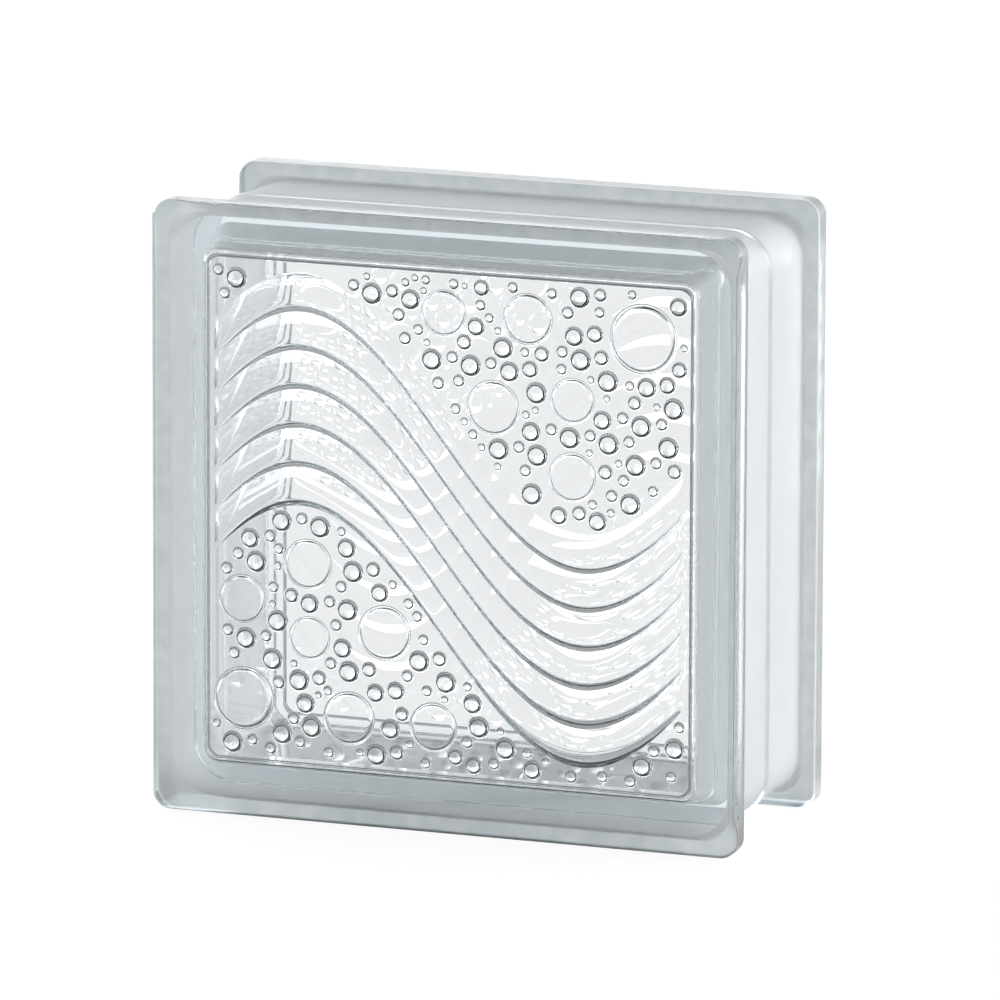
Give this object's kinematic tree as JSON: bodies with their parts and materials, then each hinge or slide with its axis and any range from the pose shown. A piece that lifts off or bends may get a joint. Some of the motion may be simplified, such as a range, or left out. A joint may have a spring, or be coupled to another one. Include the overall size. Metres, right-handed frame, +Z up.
{
  "type": "hollow glass block",
  "caption": "Square hollow glass block of two fused pressed shells, with lipped edges, a mortar channel all round and wavy, bubbled inner faces; lets light through a masonry wall.",
  "frame": {"origin": "middle of the block's footprint, on the plane it stands on", "axes": "+Z up, Y through the block's thickness with the front face at -Y, X across its width"},
  "size_m": [0.19, 0.08, 0.19],
  "materials": {
    "clear_glass": "clear pressed glass, fire-polished, faintly grey-green"
  },
  "bodies": {
    "root": {"front_shell": "clear_glass", "back_shell": "clear_glass"}
  },
  "joints": []
}
